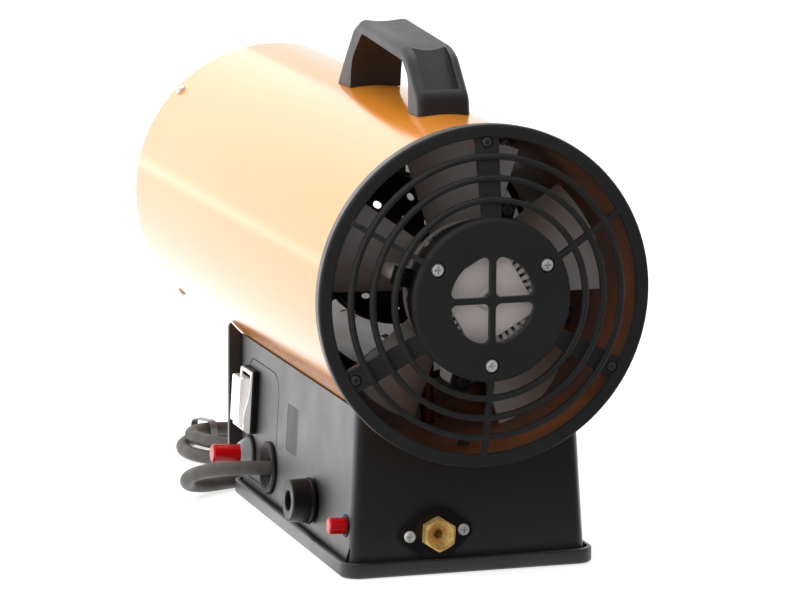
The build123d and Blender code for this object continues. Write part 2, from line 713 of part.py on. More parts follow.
burner_wall = 1.2
y_burner = y_pipe - 28.0        # rear opening of the burner
burner_cone = 30.0
burner_barrel = 22.0
burner_mouth = 7.0
pipe_bend = 12.0
with BuildPart() as burner_head:
    turned([(y_burner, burner_mouth), (y_burner, 12), (y_burner - burner_cone, burner_radius),
            (y_burner - burner_cone - burner_barrel, burner_radius),
            (y_burner - burner_cone - burner_barrel, burner_radius - burner_wall),
            (y_burner - burner_cone, burner_radius - burner_wall), (y_burner - burner_wall, 12 - burner_wall),
            (y_burner - burner_wall, burner_mouth)])
    for row in (0.35, 0.7):
        y_row = y_burner - burner_cone * row
        radius = 12 + (burner_radius - 12) * row
        for index in range(10):
            disc(on_tube(y_row, 36 * index + 36 * row, radius - 8), 2.4, 16, mode=Mode.SUBTRACT)
save(burner_head, "burner_head")

y_bracket_arm = y_burner - burner_cone - 12.0
arm_sheet = 1.5
arm_width = 16.0
electrode_circle = 61.0
electrode_angle, probe_angle = strut_angles[1], strut_angles[2]
electrode_radius, probe_radius = 3.5, 2.5


def at_arm(y, angle):
    """A plane across the tube at a burner arm, its z towards the rear."""
    place = (electrode_circle * cos(radians(angle)), electrode_circle * sin(radians(angle)), 0)
    return Plane(origin=across(y).from_local_coords(place), x_dir=(-1, 0, 0), z_dir=(0, 1, 0))


with BuildPart() as burner_arms:
    turned([(y_bracket_arm, burner_radius + seat), (y_bracket_arm, chamber_radius - chamber_wall - seat),
            (y_bracket_arm - 12, chamber_radius - chamber_wall - seat),
            (y_bracket_arm - 12, chamber_radius - chamber_wall - seat - arm_sheet),
            (y_bracket_arm - arm_sheet, chamber_radius - chamber_wall - seat - arm_sheet),
            (y_bracket_arm - arm_sheet, burner_radius + seat)])
    with BuildSketch(across(y_bracket_arm - 40)) as arm_outline:
        for angle in strut_angles:
            with PolarLocations(60, 1, start_angle=angle):
                Rectangle(40, arm_width)
    extrude(arm_outline.sketch, amount=60, mode=Mode.INTERSECT)

with BuildPart() as burner_bracket:
    turned([(y_bracket_arm, burner_radius + seat), (y_bracket_arm, burner_radius + seat + 1.2),
            (y_bracket_arm - 8, burner_radius + seat + 1.2), (y_bracket_arm - 8, burner_radius + seat)])
    add(burner_arms.part)
    for angle, radius in ((electrode_angle, electrode_radius), (probe_angle, probe_radius)):
        disc(at_arm(y_bracket_arm - 20, angle), radius + seat, 40, mode=Mode.SUBTRACT)
save(burner_bracket, "burner_bracket")

with BuildPart() as electrode:
    spun(at_arm(y_bracket_arm, electrode_angle),
         [(0, -34), (0.9, -34), (0.9, -16), (electrode_radius - 0.8, -16), (electrode_radius, -15),
          (electrode_radius, seat), (electrode_radius + 2, seat), (electrode_radius + 2, 5),
          (electrode_radius, 6), (electrode_radius - 0.6, 20), (0, 20)])
save(electrode, "electrode")

with BuildPart() as thermocouple:
    spun(at_arm(y_bracket_arm, probe_angle),
         [(0, -26), (probe_radius - 1, -26), (probe_radius, -24), (probe_radius, seat),
          (probe_radius + 2, seat), (probe_radius + 2, 7), (probe_radius, 7), (probe_radius, 14), (0, 14)])
save(thermocouple, "thermocouple")

with BuildPart() as overheat_thermostat:
    spun(on_tube(y_rear_spacer - 60, 90, chamber_radius + seat),
         [(0, 0), (8, 0), (8, 5), (6.5, 6.5), (6.5, 10), (0, 10)])
save(overheat_thermostat, "overheat_thermostat")

# ------------------------------------------------------------------ gas train
regulator_x = half_width(control_height) - 24.0
nozzle_radius = 4.5
pipe_z = 58.0
with BuildPart() as gas_nozzle:
    y_nozzle = y_pipe - pipe_bend - 2 - seat
    with BuildSketch(across(y_nozzle)) as nozzle_hex:
        RegularPolygon(6.5, 6, major_radius=False)
    extrude(nozzle_hex.sketch, amount=-8)
    turned([(y_nozzle - 8, 0), (y_nozzle - 8, nozzle_radius), (y_burner - 3, nozzle_radius - 1.5),
            (y_burner - 5, 1.5), (y_burner - 5, 0)])
save(gas_nozzle, "gas_nozzle")

with BuildPart() as gas_pipe:
    with BuildLine() as pipe_path:
        FilletPolyline((regulator_x, y_pipe, control_height + 18 + seat), (regulator_x, y_pipe, pipe_z),
                       (0, y_pipe, pipe_z), (0, y_pipe, axis_height),
                       (0, y_pipe - pipe_bend - 2, axis_height), radius=[8.0, pipe_bend, pipe_bend])
    with BuildSketch(Plane(origin=(regulator_x, y_pipe, control_height + 18 + seat), z_dir=(0, 0, 1))) as pipe_end:
        Circle(pipe_radius)
    sweep(pipe_end.sketch, path=pipe_path.wire())
save(gas_pipe, "gas_pipe")

with BuildPart() as regulator_body:
    face = on_side(knob_setback, control_height)
    spun(face, [(0, -36), (11, -36), (13, -34), (13, -14), (11, -12), (8, -12), (8, -base_wall - 1),
                (shaft_radius + bearing_gap, -base_wall - 1), (shaft_radius + bearing_gap, -22), (0, -22)])
    disc(Plane(origin=(regulator_x, y_pipe, control_height), z_dir=(0, 0, 1)), 7, 18)
    disc(Plane(origin=(regulator_x, y_pipe, control_height), z_dir=(0, 1, 0)), 7, 20)
    spun(face, [(0, -12), (0, 0), (shaft_radius + bearing_gap, 0), (shaft_radius + bearing_gap, -22), (0, -22)],
         mode=Mode.SUBTRACT)
save(regulator_body, "regulator_body")

valve_x = (12.0, 56.0)
valve_y = (y_rim - valve_setback - 10.5, y_rim - valve_setback + 9.5)
valve_z = (tray_floor + 12.6, 42.0)
with BuildPart() as gas_valve:
    with BuildSketch(Plane.XY.offset(valve_z[0])):
        with Locations(((valve_x[0] + valve_x[1]) / 2, (valve_y[0] + valve_y[1]) / 2)):
            Rectangle(valve_x[1] - valve_x[0], valve_y[1] - valve_y[0])
    extrude(amount=valve_z[1] - valve_z[0])
    chamfer(edges(), length=1.0)
save(gas_valve, "gas_valve")

with BuildPart() as valve_coil:
    spun(Plane(origin=(valve_x[0] - seat, sum(valve_y) / 2, control_height), x_dir=(0, 1, 0), z_dir=(-1, 0, 0)),
         [(0, 0), (8.4, 0), (8.4, 3), (9.4, 4), (9.4, 24), (8.4, 25), (5, 25), (5, 28), (0, 28)])
save(valve_coil, "valve_coil")

with BuildPart() as transfer_pipe:
    disc(Plane(origin=(regulator_x, y_pipe + 20 + seat, control_height), z_dir=(0, 1, 0)), pipe_radius,
         valve_y[0] - y_pipe - 20 - 2 * seat)
save(transfer_pipe, "transfer_pipe")

inlet_face = on_rear(inlet_x, inlet_height)
plate_thickness = 2.0
with BuildPart() as inlet_plate:
    with BuildSketch(inlet_face.offset(seat)) as lozenge:
        Circle(16.35)
        with Locations(*inlet_screw_places):
            Circle(6)
        make_hull(lozenge.edges())
        Circle(inlet_flats / 2 + 0.4, mode=Mode.SUBTRACT)
        with Locations(*inlet_screw_places):
            Circle(small_hole, mode=Mode.SUBTRACT)
    extrude(lozenge.sketch, amount=plate_thickness)
save(inlet_plate, "inlet_plate")

with BuildPart() as inlet_screws:
    for x, y in inlet_screw_places:
        pan_screw(Plane(origin=inlet_face.from_local_coords((x, y, plate_thickness + 2 * seat)),
                        x_dir=inlet_face.x_dir, z_dir=inlet_face.z_dir), 3.5, small_hole - seat,
                  plate_thickness + base_wall + 1.0)
save(inlet_screws, "inlet_screws")

inlet_back = 3.0                # its length behind the wall's face
inlet_corner = inlet_flats / 2 / cos(radians(30))
cone_mouth = inlet_flats / 2 - 0.9
cone_foot = inlet_length - (cone_mouth - inlet_bore_radius)
with BuildPart() as gas_inlet:
    with BuildSketch(inlet_face.offset(plate_thickness + 1)) as flats:
        RegularPolygon(inlet_flats / 2, 6, major_radius=False, rotation=30 - inlet_tilt)
    extrude(flats.sketch, amount=inlet_length - plate_thickness - 1)
    # the hexagon's corners turned off towards its face
    spun(inlet_face, [(0, 0), (inlet_corner + 1, 0), (inlet_corner + 1, inlet_length - 2.4),
                      (inlet_flats / 2 - 0.4, inlet_length), (0, inlet_length)], mode=Mode.INTERSECT)
    disc(inlet_face.offset(-inlet_back), 8.0, inlet_back + plate_thickness + 2)
    spun(inlet_face, [(0, inlet_length + 1), (cone_mouth + 1, inlet_length + 1), (inlet_bore_radius, cone_foot),
                      (inlet_bore_radius, -inlet_back - 1), (0, -inlet_back - 1)], mode=Mode.SUBTRACT)
save(gas_inlet, "gas_inlet")

# ------------------------------------------------------------------ knob and buttons
knob_face = on_side(knob_setback, control_height)
with BuildPart() as regulator_stem:
    disc(knob_face.offset(-20), shaft_radius, 28)
save(regulator_stem, "regulator_stem")

ring_hole = 6.3
with BuildPart() as regulator_knob:
    spun(knob_face, [(shaft_radius + 0.05, 1), (knob_radius, 1), (knob_radius + 0.9, 2), (knob_radius + 0.9, 3),
                     (knob_radius + 0.3, 4.2), (knob_radius - 0.6, knob_length - 0.8),
                     (knob_radius - 1.4, knob_length), (knob_radius - 1.6, knob_length),
                     (knob_radius - 1.6, knob_length - 0.8), (ring_hole, knob_length - 0.8),
                     (ring_hole, knob_length - 6), (0, knob_length - 6), (0, 8.2),
                     (shaft_radius + 0.05, 8.2)])
save(regulator_knob, "regulator_knob")

with BuildPart() as knob_ring:
    spun(knob_face, [(ring_hole, knob_length - 0.6), (knob_radius - 1.8, knob_length - 0.6),
                     (knob_radius - 1.8, knob_length), (ring_hole + 0.4, knob_length), (ring_hole, knob_length - 0.3)])
save(knob_ring, "knob_ring")

valve_face = on_side(valve_setback, control_height)
collar_bore = valve_button_radius + slide_gap
with BuildPart() as valve_collar:
    spun(valve_face, [(collar_bore, -base_wall - 3), (collar_bore + collar_wall, -base_wall - 3),
                      (collar_bore + collar_wall, seat), (collar_bore + 1.5, seat), (collar_bore + 1.5, 0.5),
                      (collar_bore + 1.2, 0.8), (collar_bore, 0.8)])
save(valve_collar, "valve_collar")

with BuildPart() as valve_button:
    spun(valve_face, [(0, -11), (valve_button_radius, -11), (valve_button_radius, 10.0),
                      (valve_button_radius - 0.8, 10.8), (0, 10.8)])
save(valve_button, "valve_button")

igniter_face = on_side(igniter_setback, control_height)
igniter_bore = igniter_button_radius + slide_gap
igniter_body_radius = igniter_hole - 0.4
with BuildPart() as igniter_gasket:
    spun(igniter_face, [(igniter_hole + seat, seat), (igniter_radius, seat), (igniter_radius, 1.2),
                        (igniter_radius - 0.4, 1.6), (igniter_hole + seat, 1.6)])
save(igniter_gasket, "igniter_gasket")

with BuildPart() as igniter_collar:
    spun(igniter_face, [(igniter_bore, 1.8), (igniter_radius - 0.8, 1.8), (igniter_radius - 1.0, 2.8),
                        (igniter_bore + 1.2, 7.6), (igniter_bore + 0.6, 8.1), (igniter_bore, 8.1)])
save(igniter_collar, "igniter_collar")

with BuildPart() as igniter_body:
    spun(igniter_face, [(0, -38), (5, -38), (5, -34), (igniter_body_radius, -34), (igniter_body_radius, 1.6),
                        (igniter_bore, 1.6), (igniter_bore, -8), (0, -8)])
save(igniter_body, "igniter_body")

with BuildPart() as igniter_button:
    spun(igniter_face, [(0, 0.4), (igniter_button_radius, 0.4), (igniter_button_radius, 24.6),
                        (igniter_button_radius - 1.0, 25.6), (0, 25.6)])
save(igniter_button, "igniter_button")

# ------------------------------------------------------------------ switch
switch_face = on_side(switch_setback, switch_height)
frame_rise = 4.2
bezel_inset = 0.8               # of the light surround within the black frame
rocker_width = 19.0
rocker_reach = 15.0             # half its length
rocker_rise = 11.2              # of its face from the wall
rocker_side_gap = 0.4
opening_high, opening_low = 17.4, -16.0
pivot_depth = 1.6               # of the rocker's axis behind the wall's face
pivot_radius = 1.5
body_hollow_half = 15.6
side_plane = Plane(origin=switch_face.origin, x_dir=switch_face.y_dir, z_dir=switch_face.x_dir)


def side_profile(*points):
    """The face of a closed outline of (height, rise from the wall) points in the switch's side view."""
    with BuildSketch(side_plane) as section:
        with BuildLine():
            Polyline(*points, close=True)
        make_face()
    return section.sketch


with BuildPart() as switch_frame:
    with BuildSketch(switch_face.offset(seat)) as frame_outline:
        RectangleRounded(switch_width, switch_tall, 2.5)
        with Locations((0, (opening_high + opening_low) / 2)):
            Rectangle(rocker_width + 2 * rocker_side_gap, opening_high - opening_low, mode=Mode.SUBTRACT)
    extrude(frame_outline.sketch, amount=frame_rise - 2 * seat)
    chamfer(edges().filter_by(Axis(switch_face.origin, switch_face.x_dir)).group_by(
        Axis(switch_face.origin, switch_face.z_dir))[-1], length=0.4)
save(switch_frame, "switch_frame")

with BuildPart() as switch_bezel:
    bezel_reach = switch_tall / 2 - bezel_inset
    extrude(side_profile((-bezel_reach, frame_rise), (-bezel_reach, frame_rise + 1.6), (-bezel_reach + 1.6, 8.4),
                         (-10, 8.8), (-4, 7.8), (2, 6.2), (8, 5.4), (opening_high, 5.2),
                         (bezel_reach - 0.6, 5.0), (bezel_reach, frame_rise)),
            amount=switch_width / 2 - bezel_inset, both=True)
    with BuildSketch(switch_face) as bezel_opening:
        with Locations((0, (opening_high + opening_low) / 2)):
            Rectangle(rocker_width + 2 * rocker_side_gap, opening_high - opening_low)
    extrude(bezel_opening.sketch, amount=20, mode=Mode.SUBTRACT)
save(switch_bezel, "switch_bezel")

with BuildPart() as switch_body:
    with BuildSketch(switch_face.offset(-24)) as body_outline:
        Rectangle(switch_hole[0] - 0.4, switch_hole[1] - 0.6)
    extrude(body_outline.sketch, amount=24)
    with BuildSketch(switch_face.offset(-14)) as body_hollow:
        Rectangle(rocker_width + 2 * rocker_side_gap, 2 * body_hollow_half)
    extrude(body_hollow.sketch, amount=20, mode=Mode.SUBTRACT)
    # the rod that the rocker tilts on
    rod = switch_face.from_local_coords((-switch_hole[0] / 2 + 0.4, 0, -pivot_depth))
    disc(Plane(origin=rod, z_dir=switch_face.x_dir), pivot_radius, switch_hole[0] - 0.8)
save(switch_body, "switch_body")

with BuildPart() as switch_rocker:
    extrude(side_profile((-rocker_reach, rocker_rise - 0.8), (-rocker_reach + 0.8, rocker_rise),
                         (rocker_reach - 0.8, rocker_rise), (rocker_reach, rocker_rise - 0.8), (rocker_reach, 4.5),
                         (13, 0), (8, -9), (-8, -9), (-13, 0), (-rocker_reach, 4.5)),
            amount=rocker_width / 2, both=True)
    bore = switch_face.from_local_coords((-rocker_width, 0, -pivot_depth))
    disc(Plane(origin=bore, z_dir=switch_face.x_dir), pivot_radius + 0.1, 2 * rocker_width, mode=Mode.SUBTRACT)
save(switch_rocker, "switch_rocker")

# ------------------------------------------------------------------ cable gland
gland_face = on_side(gland_setback, control_height)
gland_floor = -2.0              # where the cord leaves the gland, behind the wall's face
with BuildPart() as cable_gland:
    spun(gland_face, [(0, -14), (gland_hole - 0.3, -14), (gland_hole - 0.3, seat), (gland_radius, seat),
                      (gland_radius, 1.6), (gland_radius - 1.0, 2.6), (12.8, 2.6), (12.4, 1.7), (11.4, 1.7),
                      (11.0, 0.8), (10.0, 0.8), (9.6, -0.1), (8.6, -0.1), (8.2, -1.0), (7.0, -1.0),
                      (7.0, gland_floor), (0, gland_floor)])
save(cable_gland, "cable_gland")

with BuildPart() as gland_nut:
    with BuildSketch(gland_face.offset(-base_wall - seat)) as nut_outline:
        RegularPolygon(15.0, 6, major_radius=False)
        Circle(gland_hole, mode=Mode.SUBTRACT)
    extrude(nut_outline.sketch, amount=-5.0)
save(gland_nut, "gland_nut")

# ------------------------------------------------------------------ power cord
z_coil = cord_radius + cord_lift
coil_rise = 2 * cord_radius + 0.5
coil_step = cord_radius + coil_clear / 2
coil_x, coil_y = coil_centre
lead_start = gland_face.from_local_coords((0, 0, gland_floor))
lead_out = gland_face.from_local_coords((0, 0, 18.0))
lead_points = [lead_start, lead_out, (108.0, 4.5, 27.8), (117.5, -12.5, 20.8), (114.0, -33.0, 11.0),
               (100.0, -47.0, 5.4), (80.0, -56.0, z_coil), (56.0, -60.5, z_coil), (28.0, -67.0, z_coil),
               (5.0, -85.0, z_coil), (-6.0, -110.0, z_coil), (coil_x - coil_radius, coil_y + 20.0, z_coil),
               (coil_x - coil_radius, coil_y, z_coil)]


def bend_radii(points, name):
    """The largest arcs that a route's runs allow, one for each inner point."""
    radii = []
    for before, corner, after in zip(points, points[1:], points[2:]):
        first = Vector(*corner) - Vector(*before)
        second = Vector(*after) - Vector(*corner)
        half = radians(first.get_angle(second)) / 2
        radii.append(0.45 * min(first.length, second.length) / tan(half))
    print(name, "radii", [round(radius) for radius in radii])
    return radii


def cord_tube(points, name):
    """A round cord along straight runs joined by arcs, in the part that is being built."""
    points = [tuple(Vector(*point)) for point in points]
    with BuildLine() as path:
        FilletPolyline(*points, radius=bend_radii(points, name))
    start = Plane(origin=points[0], z_dir=Vector(*points[1]) - Vector(*points[0]))
    with BuildSketch(start) as section:
        Circle(cord_radius)
    sweep(section.sketch, path=path.wire())
    length = path.wire().length
    print(name, "length", round(length), "by volume", round(pi * cord_radius**2 * length))
    return length


with BuildPart() as cord_lead:
    lead_length = cord_tube([tuple(point) for point in lead_points], "cord_lead")
print("cord_lead volume", round(cord_lead.part.volume))
save(cord_lead, "cord_lead")


def coil_arcs():
    """The coil's arcs as (start, direction, end): in on the floor, up a layer, out on top."""
    side, radius, z = -1, coil_radius, z_coil
    arcs = []
    for index in range(coil_low_halves):
        start = (coil_x + side * radius, coil_y, z)
        radius -= coil_step
        arcs.append((start, (0, side, 0), (coil_x - side * radius, coil_y, z)))
        side = -side
    reach = hypot(2 * radius, coil_rise) / 2
    start = (coil_x + side * radius, coil_y, z)
    middle = (coil_x, coil_y + side * reach, z + coil_rise / 2)
    arcs.append((start, (0, side, 0), middle))
    arcs.append((middle, (-side * 2 * radius, 0, coil_rise), (coil_x - side * radius, coil_y, z + coil_rise)))
    side, z = -side, z + coil_rise
    for index in range(coil_high_halves):
        start = (coil_x + side * radius, coil_y, z)
        radius += coil_step
        arcs.append((start, (0, side, 0), (coil_x - side * radius, coil_y, z)))
        side = -side
    return arcs


with BuildPart() as cord_coil:
    with BuildLine() as coil_path:
        for start, direction, end in coil_arcs():
            TangentArc(start, end, tangent=direction)
    first, heading, _ = coil_arcs()[0]
    with BuildSketch(Plane(origin=first, z_dir=heading)) as coil_section:
        Circle(cord_radius)
    sweep(coil_section.sketch, path=coil_path.wire())
coil_length = coil_path.wire().length
print("cord_coil volume", round(cord_coil.part.volume), "by length", round(pi * cord_radius**2 * coil_length))
save(cord_coil, "cord_coil")

# the least gap between the coil's turns, on points along it a millimetre apart
coil_count = int(coil_length)
coil_samples = [coil_path.wire().position_at(index / coil_count) for index in range(coil_count + 1)]
coil_gap = min((coil_samples[i] - coil_samples[j]).length
               for i in range(0, coil_count, 3) for j in range(i + int(3 * coil_radius), coil_count, 3))
print("coil: least gap to itself", round(coil_gap - 2 * cord_radius, 2), "mm, length", round(coil_length))

tail_start = Vector(*coil_arcs()[-1][2])
tail_steps = ((0, -20.7, 0), (-22.3, -43.0, -1.7), (-53.8, -43.0, -7.7), (-76.1, -20.7, -9.8),
              (-76.1, 0, -10.0), (-76.1, 11.0, -7.6))
tail_points = [tuple(tail_start)] + [tuple(tail_start + Vector(*step)) for step in tail_steps]
with BuildPart() as cord_tail:
    tail_length = cord_tube(tail_points, "cord_tail")
print("cord_tail volume", round(cord_tail.part.volume))
save(cord_tail, "cord_tail")
print("cord length", round(lead_length + coil_length + tail_length))

tie_width = 6.0
tie_sheet = 0.5
tie_inner = coil_radius - coil_low_halves * coil_step - cord_radius - 1.4
tie_outer = coil_radius - 0.75 * coil_step + cord_radius + 0.6
tie_top = z_coil + coil_rise * 2 / 3 + cord_radius + 1.4
tie_out = Vector(cos(radians(tie_angle)), sin(radians(tie_angle)), 0)
with BuildPart() as cord_tie:
    tie_plane = Plane(origin=(coil_x, coil_y, 0), x_dir=tie_out, z_dir=tie_out.cross(Vector(0, 0, 1)))
    with BuildSketch(tie_plane) as tie_outline:
        with Locations(((tie_inner + tie_outer) / 2, (tie_top + cord_lift) / 2)):
            RectangleRounded(tie_outer - tie_inner + 2 * tie_sheet, tie_top - cord_lift + 2 * tie_sheet + 0.2,
                             4.0 + tie_sheet)
            RectangleRounded(tie_outer - tie_inner, tie_top - cord_lift + 0.2, 4.0, mode=Mode.SUBTRACT)
    extrude(tie_outline.sketch, amount=tie_width / 2, both=True)
save(cord_tie, "cord_tie")

plug_end = Vector(*tail_points[-1])
plug_axis = (plug_end - Vector(*tail_points[-2])).normalized()
plug_plane = Plane(origin=plug_end, x_dir=plug_axis.cross(Vector(0, 0, 1)), z_dir=plug_axis)
pin_radius = 2.4
pin_offset = 9.5
plug_length = 45.0
with BuildPart() as plug_body:
    spun(plug_plane, [(0, 0), (6.6, 0), (7.0, 3), (8.2, 12), (10.2, 19), (12.4, 27), (15.2, 40), (15.2, 44),
                      (14.2, plug_length), (0, plug_length)])
    for side in (-1, 1):
        hole = plug_plane.from_local_coords((side * pin_offset, 0, plug_length - 10))
        disc(Plane(origin=hole, z_dir=plug_axis), pin_radius + 0.1, 12, mode=Mode.SUBTRACT)
save(plug_body, "plug_body")

with BuildPart() as plug_pins:
    for side in (-1, 1):
        foot = plug_plane.from_local_coords((side * pin_offset, 0, plug_length - 10 + seat))
        spun(Plane(origin=foot, x_dir=plug_plane.x_dir, z_dir=plug_axis),
             [(0, 0), (pin_radius, 0), (pin_radius, 27.5), (pin_radius - 1.0, 28.8), (0, 28.8)])
save(plug_pins, "plug_pins")

# ------------------------------------------------------------------ handle
crown = axis_height + tube_radius
rear_rise = grip_top_rear - crown
front_rise = grip_top_front - crown
grip_rear, grip_front = 36.0, 122.0     # ends of the grip's top, ahead of the rear foot


def beside(ahead, rise):
    """A point of the handle's side view, from its rear foot and the top of the tube."""
    return (y_handle_rear - ahead, crown + rise)


with BuildPart() as handle:
    with BuildSketch(Plane.YZ) as outer_side:
        with BuildLine():
            FilletPolyline(beside(0, -4), beside(2.6, 10), beside(25, 32.5), beside(grip_rear, rear_rise),
                           beside(grip_front, front_rise), beside(136, 37), beside(158, 13), beside(172, -4),
                           radius=[12, 22, 26, 12, 18, 30])
            Line(beside(172, -4), beside(0, -4))
        make_face()
    extrude(outer_side.sketch, amount=handle_half_width, both=True)
    soft_edges = edges().filter_by(lambda edge: abs(edge.center().X) > handle_half_width - 0.1
                                   and edge.center().Z > crown - 3.9)
    fillet(soft_edges, radius=4.4)
    with BuildSketch(Plane.YZ) as inner_side:
        with BuildLine():
            FilletPolyline(beside(handle_leg, -6), beside(handle_leg + 0.6, 20), beside(34, rear_rise - grip_depth),
                           beside(116, front_rise - grip_depth), beside(137, 17),
                           beside(172 - handle_front_leg, -6), radius=[12, 9, 8, 22])
            Line(beside(172 - handle_front_leg, -6), beside(handle_leg, -6))
        make_face()
    extrude(inner_side.sketch, amount=handle_half_width * 2, both=True, mode=Mode.SUBTRACT)
    disc(across(y_handle_front - 20), tube_radius + seat, handle_span + 40, mode=Mode.SUBTRACT)
    # the hollow along the top of the grip
    dish_half_width = handle_half_width - 4.4
    dish_radius = (dish_half_width**2 + grip_dish**2) / (2 * grip_dish)
    along = Vector(0, -(grip_front - grip_rear), front_rise - rear_rise).normalized()
    upright = along.cross(Vector(1, 0, 0))
    dish_foot = Vector(0, *beside(grip_rear - 30, rear_rise)) + upright * (dish_radius - grip_dish)
    dish_foot -= Vector(0, 0, 30 * (front_rise - rear_rise) / (grip_front - grip_rear))
    disc(Plane(origin=dish_foot, x_dir=(1, 0, 0), z_dir=along), dish_radius, 170, mode=Mode.SUBTRACT)
    # the arched pocket over a ledge in the rear foot
    slope = Vector(0, -(25 - 2.6), 32.5 - 10).normalized()
    ledge = Vector(0, *beside(2.6 + pocket_ledge - 10, pocket_ledge))
    pocket_plane = Plane(origin=ledge, x_dir=(-1, 0, 0), z_dir=slope.cross(Vector(1, 0, 0)))
    with BuildSketch(pocket_plane.offset(-pocket_depth)) as pocket:
        with Locations((0, 18)):
            RectangleRounded(2 * pocket_half_width, 36 + 10, 8.0)
        with Locations((0, -20)):
            Rectangle(4 * pocket_half_width, 40, mode=Mode.SUBTRACT)
    extrude(pocket.sketch, amount=pocket_depth + 20, mode=Mode.SUBTRACT)
    for y in handle_screw_places:
        disc(on_tube(y, 90, tube_radius - 4), 2.2, 14.4, mode=Mode.SUBTRACT)
save(handle, "handle")

with BuildPart() as handle_screws:
    for y in handle_screw_places:
        pan_screw(Plane(origin=(0, y, crown - tube_wall - seat - 0.15), x_dir=(0, 1, 0), z_dir=(0, 0, -1)),
                  4.2, 2.0, 11)
save(handle_screws, "handle_screws")

# ------------------------------------------------------------------ wiring
block_x, block_y = -34.0, 20.0
with BuildPart() as terminal_block:
    with BuildSketch(Plane.XY.offset(z_base + seat)):
        with Locations((block_x, block_y)):
            Rectangle(18, 46)
    extrude(amount=12)
    with BuildSketch(Plane.XY.offset(z_base + seat + 12)):
        with Locations((block_x, block_y)):
            with GridLocations(0, 11, 1, 4):
                Circle(3.4)
    extrude(amount=-6, mode=Mode.SUBTRACT)
save(terminal_block, "terminal_block")
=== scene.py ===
"""Looks of a forced air heater: its materials, its power cord, its rating plate and the studio round it.

Lengths are in metres, apart from those of the cord and the plate, which are in millimetres.
"""
import json
from math import cos, pi, radians, sin, tan

import bpy
from mathutils import Matrix, Vector


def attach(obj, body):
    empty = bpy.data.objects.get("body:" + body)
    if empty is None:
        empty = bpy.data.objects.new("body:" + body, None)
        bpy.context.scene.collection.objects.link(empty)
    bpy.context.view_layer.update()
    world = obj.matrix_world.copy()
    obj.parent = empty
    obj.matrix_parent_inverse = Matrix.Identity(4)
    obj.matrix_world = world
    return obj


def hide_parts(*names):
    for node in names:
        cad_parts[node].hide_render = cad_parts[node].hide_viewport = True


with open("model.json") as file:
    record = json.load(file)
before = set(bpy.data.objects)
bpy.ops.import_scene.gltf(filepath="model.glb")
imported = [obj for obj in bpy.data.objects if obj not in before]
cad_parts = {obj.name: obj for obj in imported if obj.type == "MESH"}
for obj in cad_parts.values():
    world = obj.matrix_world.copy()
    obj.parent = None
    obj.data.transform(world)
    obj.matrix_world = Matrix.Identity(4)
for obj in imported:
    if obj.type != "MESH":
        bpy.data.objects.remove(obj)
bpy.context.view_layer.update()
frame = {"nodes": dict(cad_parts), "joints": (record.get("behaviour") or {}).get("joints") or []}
NODES = frame["nodes"]
MM = 0.001
AXIS_Z = next(joint["pos_m"][2] for joint in frame["joints"] if joint["name"] == "fan_spin")
CORNERS = ((-1, -1), (1, -1), (1, 1), (-1, 1))      # of a square, anticlockwise


def add(name, data):
    """A new object of the scene."""
    made = bpy.data.objects.new(name, data)
    bpy.context.scene.collection.objects.link(made)
    return made


# ------------------------------------------------------------------ camera
CAMERA_PLACE = (0.7832, 2.4943, 0.6051)
CAMERA_YAW, CAMERA_PITCH, CAMERA_ROLL = radians(17.788), radians(-10.309), radians(0.394)
LENS, SENSOR_WIDTH = 190.2, 36.0        # millimetres
NEAREST, FURTHEST = 0.1, 50.0


def aim_camera():
    """The photograph's long lens, behind the heater on its control side."""
    forward = Vector((-sin(CAMERA_YAW) * cos(CAMERA_PITCH), -cos(CAMERA_YAW) * cos(CAMERA_PITCH),
                      sin(CAMERA_PITCH)))
    level = Vector((-cos(CAMERA_YAW), sin(CAMERA_YAW), 0))
    upright = level.cross(forward)
    right = level * cos(CAMERA_ROLL) + upright * sin(CAMERA_ROLL)
    up = upright * cos(CAMERA_ROLL) - level * sin(CAMERA_ROLL)
    data = bpy.data.cameras.new("camera")
    data.lens, data.sensor_width = LENS, SENSOR_WIDTH
    data.clip_start, data.clip_end = NEAREST, FURTHEST
    camera = add("camera", data)
    turn = Matrix((right, up, -forward)).transposed().to_4x4()
    camera.matrix_world = Matrix.Translation(CAMERA_PLACE) @ turn
    bpy.context.scene.camera = camera


aim_camera()
bpy.context.scene.view_settings.view_transform = "Standard"

# ------------------------------------------------------------------ node trees
MIX_SHARE, MIX_FIRST, MIX_SECOND, MIX_RESULT = 0, 6, 7, 2      # a Mix node's sockets for colours
EDGE_SAMPLES = 4
EDGE_FULL, EDGE_NONE = 0.7, 0.98        # cosine of true to rounded normal, on an edge and on a flat face
INNER_FULL, INNER_NONE = -0.01, 0.0     # a face's normal times its way out from the tube's axis


def linear(red, green, blue):
    """A colour of 0 to 255 as the renderer's linear values."""
    made = []
    for part in (red, green, blue):
        part /= 255
        made.append(part / 12.92 if part <= 0.04045 else ((part + 0.055) / 1.055) ** 2.4)
    return (*made, 1.0)


